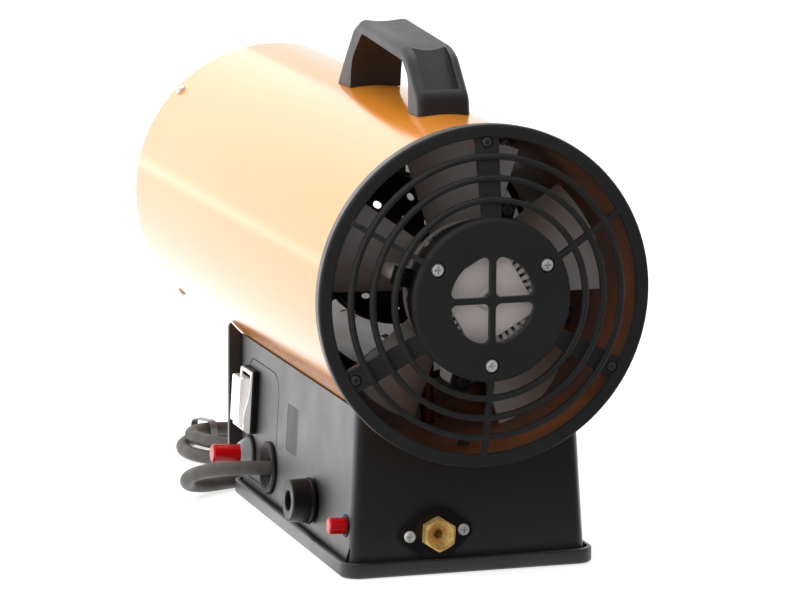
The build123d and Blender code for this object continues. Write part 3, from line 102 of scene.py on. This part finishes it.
class Nodes:
    """A node tree, with short ways to add nodes to it and to set and join them."""

    def __init__(self, tree):
        self.tree = tree

    def node(self, kind, **settings):
        made = self.tree.nodes.new(kind)
        for key, value in settings.items():
            setattr(made, key, value)
        return made

    def feed(self, value, socket):
        """Links an output to the socket, or sets the socket to a constant."""
        if isinstance(value, bpy.types.NodeSocket):
            self.tree.links.new(value, socket)
        else:
            socket.default_value = value

    def spread(self, source, low, high, start=0.3, end=0.7):
        """Goes from low to high as the source goes from start to end."""
        made = self.node("ShaderNodeMapRange")
        for key, value in zip(("From Min", "From Max", "To Min", "To Max"), (start, end, low, high)):
            self.feed(value, made.inputs[key])
        self.feed(source, made.inputs["Value"])
        return made.outputs["Result"]

    def vectors(self, operation, first, second):
        """The result of a calculation on two vectors."""
        made = self.node("ShaderNodeVectorMath", operation=operation)
        self.feed(first, made.inputs[0])
        self.feed(second, made.inputs[1])
        return made.outputs["Value" if operation == "DOT_PRODUCT" else "Vector"]

    def emission(self, strength):
        """A white glow."""
        made = self.node("ShaderNodeEmission")
        self.feed(strength, made.inputs["Strength"])
        return made.outputs[0]


class Shader(Nodes):
    """One material: a principled surface whose colour, roughness and relief come from noise."""

    def __init__(self, name, roughness, metallic=0.0, coat=0.0, coat_roughness=0.1, specular=0.5):
        self.material = bpy.data.materials.new(name)
        self.material.use_nodes = True
        super().__init__(self.material.node_tree)
        self.surface = self.tree.nodes["Principled BSDF"]
        self.roughness = roughness
        constants = {"Roughness": roughness, "Metallic": metallic, "Coat Weight": coat,
                     "Coat Roughness": coat_roughness, "Specular IOR Level": specular}
        for key, value in constants.items():
            self.surface.inputs[key].default_value = value

    def noise(self, scale, detail, stretch=None):
        """Noise over the object's own space, scale in features a metre."""
        place = self.node("ShaderNodeTexCoord").outputs["Object"]
        if stretch:
            mapping = self.node("ShaderNodeMapping")
            self.feed(stretch, mapping.inputs["Scale"])
            self.feed(place, mapping.inputs["Vector"])
            place = mapping.outputs["Vector"]
        made = self.node("ShaderNodeTexNoise")
        self.feed(scale, made.inputs["Scale"])
        self.feed(detail, made.inputs["Detail"])
        self.feed(place, made.inputs["Vector"])
        return made.outputs["Fac"]

    def blend(self, share, first, second):
        """A colour between two, each a constant or a node's output."""
        made = self.node("ShaderNodeMix", data_type="RGBA")
        for value, socket in ((share, MIX_SHARE), (first, MIX_FIRST), (second, MIX_SECOND)):
            self.feed(value, made.inputs[socket])
        return made.outputs[MIX_RESULT]

    def patches(self, first, second, scale, detail, most=1.0, start=0.35, end=0.65, stretch=None):
        """The first colour, with patches that hold a share of the second, at most as given."""
        share = self.spread(self.noise(scale, detail, stretch), 0.0, most, start, end)
        return self.blend(share, first, second)

    def rounded(self, radius):
        """The normal of the surface with its edges rounded."""
        made = self.node("ShaderNodeBevel", samples=EDGE_SAMPLES)
        self.feed(radius, made.inputs["Radius"])
        return made.outputs["Normal"]

    def worn_and_highlit_edges(self, colour, wear_and_highlight, radius, most):
        """The colour, with a share of the lighter one along sharp edges, at most as given: wear and a
        painted highlight.
        """
        true = self.node("ShaderNodeNewGeometry").outputs["Normal"]
        cosine = self.vectors("DOT_PRODUCT", self.rounded(radius), true)
        return self.blend(self.spread(cosine, most, 0.0, EDGE_FULL, EDGE_NONE), colour, wear_and_highlight)

    def inner_face(self):
        """1 on a face that looks in at the tube's axis, and 0 on one that looks out."""
        face = self.node("ShaderNodeNewGeometry")
        outward = self.vectors("SUBTRACT", face.outputs["Position"], (0, 0, AXIS_Z))
        outward = self.vectors("MULTIPLY", outward, (1, 0, 1))
        facing = self.vectors("DOT_PRODUCT", outward, face.outputs["True Normal"])
        return self.spread(facing, 1.0, 0.0, INNER_FULL, INNER_NONE)

    def colour(self, source):
        self.feed(source, self.surface.inputs["Base Color"])

    def rough(self, source, less, more, start=0.3, end=0.7):
        """Varies the roughness with the source, from less below its plain value to more above it."""
        varied = self.spread(source, self.roughness - less, self.roughness + more, start, end)
        self.feed(varied, self.surface.inputs["Roughness"])

    def relief(self, *heights, soften=None):
        """Bumps from (source, distance) pairs, over edges rounded by soften, if any."""
        normal = self.rounded(soften) if soften else None
        for source, distance in heights:
            bump = self.node("ShaderNodeBump")
            self.feed(1.0, bump.inputs["Strength"])
            self.feed(distance, bump.inputs["Distance"])
            self.feed(source, bump.inputs["Height"])
            if normal:
                self.feed(normal, bump.inputs["Normal"])
            normal = bump.outputs["Normal"]
        self.feed(normal, self.surface.inputs["Normal"])


# ------------------------------------------------------------------ materials
def paint(name, body, deep, dust, shaded_inner_amber, inner_shade_blotch, roughness):
    """Powder coat on a round tube: even, with specks of dust; its inner face is rougher and carries painted
    shade, a darker amber with darker blotches.
    """
    made = Shader(name, roughness, coat=0.1)
    outside = made.patches(body, deep, scale=4, detail=2, start=0.3, end=0.7)
    outside = made.patches(outside, dust, scale=1400, detail=4, most=0.04, start=0.66, end=0.8)
    # painted shade on the inner face: a darker amber, with darker blotches of painted shade
    inner_painted_shade = made.patches(shaded_inner_amber, inner_shade_blotch, scale=24, detail=4, most=0.6)
    inner = made.inner_face()
    made.colour(made.blend(inner, outside, inner_painted_shade))
    made.rough(inner, less=0.0, more=0.4, start=0.0, end=1.0)
    made.relief((made.noise(scale=2400, detail=1), 0.000002))
    return made.material


def moulding(name, body, wear_and_highlight, roughness, grain=2600, depth=0.00001, soften=0.0006, specular=0.5,
             coat=0.0):
    """Moulded plastic or satin paint: a fine grain, slight flow marks and edges lighter, both rubbed and
    with a painted highlight.
    """
    made = Shader(name, roughness, coat=coat, coat_roughness=roughness, specular=specular)
    deeper = tuple(part * 0.93 for part in body[:3]) + (1.0,)
    colour = made.patches(body, deeper, scale=22, detail=3, stretch=(1, 0.35, 1))
    colour = made.patches(colour, wear_and_highlight, scale=900, detail=6, most=0.25, start=0.62, end=0.8)
    # edges lighter: partly wear, partly a painted highlight
    made.colour(made.worn_and_highlit_edges(colour, wear_and_highlight, radius=1.6 * soften, most=0.5))
    made.rough(made.noise(scale=35, detail=4), less=0.05, more=0.08)
    made.relief((made.noise(grain, detail=2), depth), soften=soften)
    return made.material


def metal(name, body, tarnish, roughness, metallic=1.0, mottle=60, brushed=None, depth=0.000006):
    """Bare metal: tool marks, along one direction where it is brushed, tarnish and edges brighter from wear
    and a painted highlight.
    """
    soften = 0.0003
    made = Shader(name, roughness, metallic=metallic)
    bright = tuple(min(1.0, part * 1.25 + 0.03) for part in body[:3]) + (1.0,)
    colour = made.patches(body, tarnish, mottle, detail=5, most=0.7, start=0.42, end=0.68)
    # brighter edges: partly wear, partly a painted highlight
    made.colour(made.worn_and_highlit_edges(colour, bright, radius=1.5 * soften, most=0.6))
    marks = made.noise(scale=500, detail=3, stretch=brushed)
    made.rough(marks, less=0.07, more=0.1)
    made.relief((marks, depth), soften=soften)
    return made.material


def thin_sheet(name, body, shade, roughness, metallic):
    """Smooth thin sheet metal: rolled in one direction, with a slow change of tone."""
    made = Shader(name, roughness, metallic=metallic)
    made.colour(made.patches(body, shade, scale=9, detail=2, start=0.3, end=0.7))
    made.rough(made.noise(scale=70, detail=2, stretch=(1, 0.1, 1)), less=0.03, more=0.05)
    made.relief((made.noise(scale=900, detail=2, stretch=(1, 0.05, 1)), 0.0000008))
    return made.material


def gloss(name, body, shade, roughness, coat=0.4, specular=0.5):
    """Smooth moulded plastic of one colour, with faint flow marks and a very fine grain."""
    made = Shader(name, roughness, coat=coat, coat_roughness=0.08, specular=specular)
    made.colour(made.patches(body, shade, scale=45, detail=3))
    made.rough(made.noise(scale=140, detail=3), less=0.05, more=0.08)
    made.relief((made.noise(scale=1500, detail=2), 0.000003), soften=0.0005)
    return made.material


def rubber(name, body, dust, shade, roughness):
    """Rubber: matt, dusted grey, with a very fine drawn texture."""
    made = Shader(name, roughness, specular=0.4)
    colour = made.patches(body, dust, scale=160, detail=5, most=0.4, start=0.45, end=0.75)
    made.colour(made.patches(colour, shade, scale=24, detail=3, most=0.5, start=0.4, end=0.6))
    made.rough(made.noise(scale=90, detail=3), less=0.1, more=0.08)
    made.relief((made.noise(scale=1800, detail=3), 0.00003), (made.noise(scale=140, detail=2), 0.00006),
                soften=0.0003)
    return made.material


# the tube's inner face gets painted shade: a darker amber with darker blotches
AMBER = paint("amber_paint", body=linear(232, 146, 46), deep=linear(228, 141, 42),
              dust=linear(236, 214, 170), shaded_inner_amber=linear(172, 94, 22), inner_shade_blotch=linear(62, 34, 12),
              roughness=0.17)
RUBBER = rubber("rubber_sheath", body=linear(84, 82, 79), dust=linear(116, 113, 110),
                shade=linear(68, 66, 64), roughness=0.62)

BASE_BLACK = moulding("base_moulding", linear(25, 24, 26), linear(56, 56, 59), roughness=0.5, grain=2400,
                      specular=1.0, coat=0.4)
GRILLE_BLACK = moulding("grille_moulding", linear(42, 42, 42), linear(66, 66, 67), roughness=0.4,
                        grain=3000, specular=0.4)
HANDLE_BLACK = moulding("handle_moulding", linear(36, 34, 37), linear(72, 70, 74), roughness=0.5,
                        grain=2000, depth=0.00003, specular=0.45)
KNOB_BLACK = moulding("knob_moulding", linear(16, 16, 17), linear(52, 52, 54), roughness=0.42,
                      specular=0.2)
# the collar is dark gloss; its light grey is painted reflection
COLLAR_SHEEN_GREY = moulding("collar_moulding", linear(118, 123, 121), linear(150, 154, 152), roughness=0.26)
STEEL_BLACK = moulding("black_steel", linear(16, 16, 17), linear(80, 78, 76), roughness=0.34, grain=900,
                       soften=0.0004)
PLATE_GREY = moulding("plate_foil", linear(46, 45, 48), linear(70, 69, 72), roughness=0.6, grain=5000,
                      depth=0.00002, specular=0.85)
POTTED = moulding("potted_coil", linear(30, 30, 34), linear(60, 60, 66), roughness=0.3, depth=0.00003)

ZINC = metal("zinc_plate", linear(226, 226, 224), linear(190, 189, 186), roughness=0.26, metallic=0.4,
             depth=0.00001)
DARK_STEEL = metal("dark_screw_steel", linear(88, 86, 84), linear(56, 54, 52), roughness=0.36,
                   metallic=0.5)
GREY_STEEL = metal("grey_screw_steel", linear(120, 117, 115), linear(70, 67, 65), roughness=0.32)
SHEET_STEEL = metal("sheet_steel", linear(150, 148, 146), linear(112, 110, 108), roughness=0.3,
                    brushed=(1, 0.08, 1))
CAST_GREY = metal("cast_grey", linear(240, 230, 227), linear(228, 218, 215), roughness=0.5, metallic=0.25,
                  mottle=12, depth=0.000004)
BRASS = metal("turned_brass", linear(246, 204, 128), linear(210, 156, 82), roughness=0.26, metallic=0.6,
              mottle=120, brushed=(1, 8, 1))
COPPER = metal("copper_tube", linear(186, 112, 78), linear(112, 62, 44), roughness=0.3, mottle=70)
NICKEL = metal("nickel_pins", linear(200, 196, 186), linear(166, 160, 150), roughness=0.2)
FAN_METAL = thin_sheet("fan_sheet", linear(236, 232, 230), linear(218, 214, 212), roughness=0.38,
                       metallic=0.7)
BURNT = thin_sheet("sooted_steel", linear(92, 86, 81), linear(60, 54, 50), roughness=0.5, metallic=0.6)

WHITE = gloss("white_plastic", linear(255, 255, 254), linear(250, 250, 248), roughness=0.2, coat=1.0)
RING_GREY = gloss("ring_plastic", linear(40, 40, 41), linear(32, 32, 33), roughness=0.4, coat=0.0,
                  specular=0.3)
RED = gloss("red_plastic", linear(186, 8, 15), linear(174, 6, 11), roughness=0.24, coat=0.12,
            specular=0.2)
CERAMIC = gloss("ceramic", linear(232, 228, 214), linear(214, 208, 190), roughness=0.2)
TIE_GREY = gloss("tie_plastic", linear(130, 136, 136), linear(112, 118, 118), roughness=0.4)

FINISHES = {
    AMBER: ["heater_tube"],
    BASE_BLACK: ["base_shell", "front_cover", "base_tray"],
    GRILLE_BLACK: ["rear_grille"],
    HANDLE_BLACK: ["handle"],
    COLLAR_SHEEN_GREY: ["igniter_collar"],
    KNOB_BLACK: ["regulator_knob", "switch_frame", "switch_body", "igniter_gasket", "igniter_body",
                 "valve_collar", "cable_gland", "gland_nut", "plug_body", "terminal_block"],
    STEEL_BLACK: ["motor_bracket", "inlet_plate"],
    RUBBER: ["rubber_feet", "cord_lead", "cord_coil", "cord_tail"],
    ZINC: ["motor_screws", "inlet_screws", "fan_nut", "chamber_spacers", "chamber_screws"],
    DARK_STEEL: ["grille_screws", "cover_screws", "handle_screws", "saddle_screws"],
    GREY_STEEL: ["bracket_screws"],
    SHEET_STEEL: ["motor_shaft", "motor_rotor", "burner_bracket", "thermocouple", "overheat_thermostat",
                  "motor_stator"],
    FAN_METAL: ["fan_rotor"],
    CAST_GREY: ["motor_rear_cap", "motor_front_cap"],
    BRASS: ["gas_inlet", "gas_nozzle", "gas_valve", "regulator_body", "regulator_stem"],
    COPPER: ["gas_pipe", "transfer_pipe"],
    BURNT: ["combustion_chamber", "burner_head"],
    NICKEL: ["plug_pins"],
    WHITE: ["switch_bezel", "switch_rocker"],
    RING_GREY: ["knob_ring"],
    RED: ["igniter_button", "valve_button"],
    CERAMIC: ["electrode"],
    TIE_GREY: ["cord_tie"],
    POTTED: ["valve_coil"],
}
for finish, names in FINISHES.items():
    for name in names:
        mesh = NODES[name].data
        mesh.materials.clear()
        mesh.materials.append(finish)
        mesh.polygons.foreach_set("material_index", [0] * len(mesh.polygons))

# ------------------------------------------------------------------ power cord
CORD_RADIUS = 4.5
COIL_X, COIL_Y = 39.7, -155.0
COIL_RADIUS = 48.0
COIL_STEP = 5.7                 # change of radius over half a turn
LOW_Z, HIGH_Z = 5.2, 14.7       # the coil's two layers
LOW_HALVES, HIGH_HALVES = 2, 1
POINTS_A_HALF = 8
BULGE = 1 / cos(pi / POINTS_A_HALF / 2)     # of the control points past the turn that they make
LEAD = [(70.255, 13.9, 28.788), (90.224, 13.9, 29.905), (108.0, 4.5, 27.8), (117.5, -12.5, 20.8),
        (114.0, -33.0, 11.0), (100.0, -47.0, 5.4), (80.0, -56.0, 5.2), (56.0, -60.5, 5.2),
        (28.0, -67.0, 5.2), (5.0, -85.0, 5.2), (-6.0, -110.0, 5.2), (-8.3, -135.0, 5.2)]    # from the gland
TAIL = [(0, -20.7, 0), (-22.3, -43.0, -1.7), (-53.8, -43.0, -7.7), (-76.1, -20.7, -9.8),
        (-76.1, 0, -10.0), (-76.1, 11.0, -7.6)]     # from the coil's end
SPAN_STEPS = 6                  # from one control point to the next
ROUNDNESS = 6                   # gives the cord 16 sides


def half_turn(side, first, last, low, high):
    """Control points of half a turn, from radius first to last and from height low to high."""
    centre = COIL_X + side * (first - last) / 2
    reach = side * (first + last) / 2 * BULGE
    points = []
    for index in range(POINTS_A_HALF):
        share = (index + 0.5) / POINTS_A_HALF
        points.append((centre + reach * cos(pi * share), COIL_Y + reach * sin(pi * share),
                       low + (high - low) * share))
    return points


def coil_points():
    """The coil's points and its end: in on the floor, up in half a turn, and out on top."""
    halves = [(-COIL_STEP, LOW_Z, LOW_Z)] * LOW_HALVES
    halves += [(0.0, LOW_Z, HIGH_Z)]
    halves += [(COIL_STEP, HIGH_Z, HIGH_Z)] * HIGH_HALVES
    points, side, radius = [], -1, COIL_RADIUS
    for step, low, high in halves:
        points += half_turn(side, radius, radius + step, low, high)
        radius += step
        side = -side
    return points, (COIL_X + side * radius, COIL_Y, HIGH_Z)


def make_cord():
    """One cord from the gland round its loop, through the coil and out to the plug."""
    turns, end = coil_points()
    tail = [tuple(Vector(end) + Vector(step)) for step in TAIL]
    route = LEAD + turns + [end] + tail
    data = bpy.data.curves.new("power_cord", "CURVE")
    data.dimensions = "3D"
    spline = data.splines.new("NURBS")
    spline.points.add(len(route) - 1)
    for point, place in zip(spline.points, route):
        point.co = (*(Vector(place) * MM), 1.0)
    spline.order_u = 3
    spline.use_endpoint_u = True
    spline.resolution_u = SPAN_STEPS
    data.bevel_depth = CORD_RADIUS * MM
    data.bevel_resolution = ROUNDNESS
    data.use_fill_caps = True
    data.materials.append(RUBBER)
    cord = add("power_cord", data)
    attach(cord, "housing")
    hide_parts("cord_lead", "cord_coil", "cord_tail")


make_cord()

# ------------------------------------------------------------------ rating plate
RIM_Y = 216.4                           # the grille's rim, from which the setback is measured
WALL_FOOT_X, WALL_FOOT_Z = 73.7, 3.0    # of the control wall, on the tray's floor
WALL_LEAN = radians(3.2)                # in towards its top
PLATE_SETBACK, PLATE_HEIGHT = 158.6, 62.0
PLATE_SIZE = (22.6, 28.6)
PLATE_BACK, PLATE_RIM, PLATE_FACE = 0.34, 0.12, 0.05    # below the face of the wall


def wall_point(along, up, out):
    """A point in metres from the middle of the plate: along the tube, up the wall and out of it."""
    middle = WALL_FOOT_X - (PLATE_HEIGHT - WALL_FOOT_Z) * tan(WALL_LEAN)
    x = middle - up * sin(WALL_LEAN) + out * cos(WALL_LEAN)
    z = PLATE_HEIGHT + up * cos(WALL_LEAN) + out * sin(WALL_LEAN)
    return Vector((x, RIM_Y - PLATE_SETBACK + along, z)) * MM


def make_plate():
    """A bare dark plate in its recess, its rim turned down all round."""
    half_width, half_tall = PLATE_SIZE[0] / 2, PLATE_SIZE[1] / 2
    rings = ((0.0, PLATE_BACK), (0.0, PLATE_RIM), (PLATE_RIM, PLATE_FACE))
    places = [tuple(wall_point(x * (half_width - inset), y * (half_tall - inset), -depth))
              for inset, depth in rings for x, y in CORNERS]
    count = len(CORNERS)
    last = count * (len(rings) - 1)
    faces = [tuple(reversed(range(count))), tuple(range(last, last + count))]
    for low in range(0, last, count):
        for here in range(count):
            after = (here + 1) % count
            faces.append((low + here, low + after, low + count + after, low + count + here))
    mesh = bpy.data.meshes.new("rating_plate")
    mesh.from_pydata(places, [], faces)
    mesh.materials.append(PLATE_GREY)
    plate = add("rating_plate", mesh)
    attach(plate, "housing")


make_plate()

# ------------------------------------------------------------------ floor and light
ROOM_LIGHT = 0.35                       # the same from every side
GLOSS_AHEAD, GLOSS_BEHIND = 1.3, 0.13   # brightness of the room in reflections
GLOSS_TURN = (-0.4, 0.15)               # from ahead to behind, by the Y of a direction
FLOOR_HALF = 12.0
FLOOR_COLOUR = (0.62, 0.62, 0.62, 1)
FLOOR_GLOW = 0.68                       # added to the floor where the camera sees it
FLOOR_AHEAD, FLOOR_BEHIND = 2.1, 0.05   # brightness of the floor in reflections
FLOOR_TURN = (0.12, 0.24)               # from ahead to behind, by the Y of a place
MIDDLE = (0, 0, 0.15)                   # of the heater
LOW_MIDDLE = (0, 0, 0.1)


def lay_floor():
    """A pale floor: white to the camera, and in reflections bright ahead and dim behind the heater."""
    made = Shader("floor_white", roughness=0.6, specular=0.2)
    made.colour(FLOOR_COLOUR)
    path = made.node("ShaderNodeLightPath")
    seen = made.node("ShaderNodeMath", operation="MULTIPLY_ADD", use_clamp=True)
    seen_by = (path.outputs["Is Camera Ray"], FLOOR_GLOW, path.outputs["Is Transmission Ray"])
    for value, socket in zip(seen_by, seen.inputs):
        made.feed(value, socket)
    plain = made.node("ShaderNodeAddShader")
    made.feed(made.surface.outputs[0], plain.inputs[0])
    made.feed(made.emission(seen.outputs[0]), plain.inputs[1])
    place = made.node("ShaderNodeSeparateXYZ")
    made.feed(made.node("ShaderNodeNewGeometry").outputs["Position"], place.inputs[0])
    mirrored = made.emission(made.spread(place.outputs["Y"], FLOOR_AHEAD, FLOOR_BEHIND, *FLOOR_TURN))
    either = made.node("ShaderNodeMixShader")
    for value, socket in zip((path.outputs["Is Glossy Ray"], plain.outputs[0], mirrored), either.inputs):
        made.feed(value, socket)
    made.feed(either.outputs[0], made.tree.nodes["Material Output"].inputs["Surface"])

    mesh = bpy.data.meshes.new("floor")
    mesh.from_pydata([(x * FLOOR_HALF, y * FLOOR_HALF, 0) for x, y in CORNERS], [], [(0, 1, 2, 3)])
    mesh.materials.append(made.material)
    floor = add("floor", mesh)


def light_world():
    """White to the camera, brighter ahead than behind in reflections, and one plain level on all else."""
    world = bpy.data.worlds.new("world")
    bpy.context.scene.world = world
    world.use_nodes = True
    world.node_tree.nodes.clear()
    made = Nodes(world.node_tree)
    path = made.node("ShaderNodeLightPath")
    way = made.node("ShaderNodeSeparateXYZ")
    made.feed(made.node("ShaderNodeTexCoord").outputs["Generated"], way.inputs[0])
    mirrored = made.spread(way.outputs["Y"], GLOSS_AHEAD, GLOSS_BEHIND, *GLOSS_TURN)
    strength = made.spread(path.outputs["Is Glossy Ray"], ROOM_LIGHT, mirrored, 0.0, 1.0)
    strength = made.spread(path.outputs["Is Transmission Ray"], strength, 1.0, 0.0, 1.0)
    strength = made.spread(path.outputs["Is Camera Ray"], strength, 1.0, 0.0, 1.0)
    background = made.node("ShaderNodeBackground")
    made.feed((1, 1, 1, 1), background.inputs["Color"])
    made.feed(strength, background.inputs["Strength"])
    made.feed(background.outputs[0], made.node("ShaderNodeOutputWorld").inputs["Surface"])


def area_light(name, place, target, size, power, glossy=True, diffuse=True):
    """A soft lamp of that width and height, aimed at the target, unseen by the camera."""
    data = bpy.data.lights.new(name, "AREA")
    data.shape = "RECTANGLE"
    data.size, data.size_y = size
    data.energy = power
    lamp = add(name, data)
    lamp.location = place
    lamp.rotation_mode = "QUATERNION"
    lamp.rotation_quaternion = (Vector(target) - Vector(place)).to_track_quat("-Z", "Y")
    lamp.visible_camera = False
    lamp.visible_glossy = glossy
    lamp.visible_diffuse = diffuse


lay_floor()
light_world()
area_light("key", (2.2, 0.4, 2.2), MIDDLE, size=(2.0, 1.6), power=42, glossy=False)
area_light("side", (2.6, 0.9, 0.8), LOW_MIDDLE, size=(1.4, 1.2), power=28, glossy=False)
area_light("fill", (1.2, 2.6, 1.3), LOW_MIDDLE, size=(1.8, 1.4), power=9, glossy=False)
area_light("softbox", (0.9, -3.0, 1.0), MIDDLE, size=(3.2, 2.4), power=22, diffuse=False)
area_light("top", (0, -0.4, 2.6), MIDDLE, size=(2.4, 2.4), power=34)
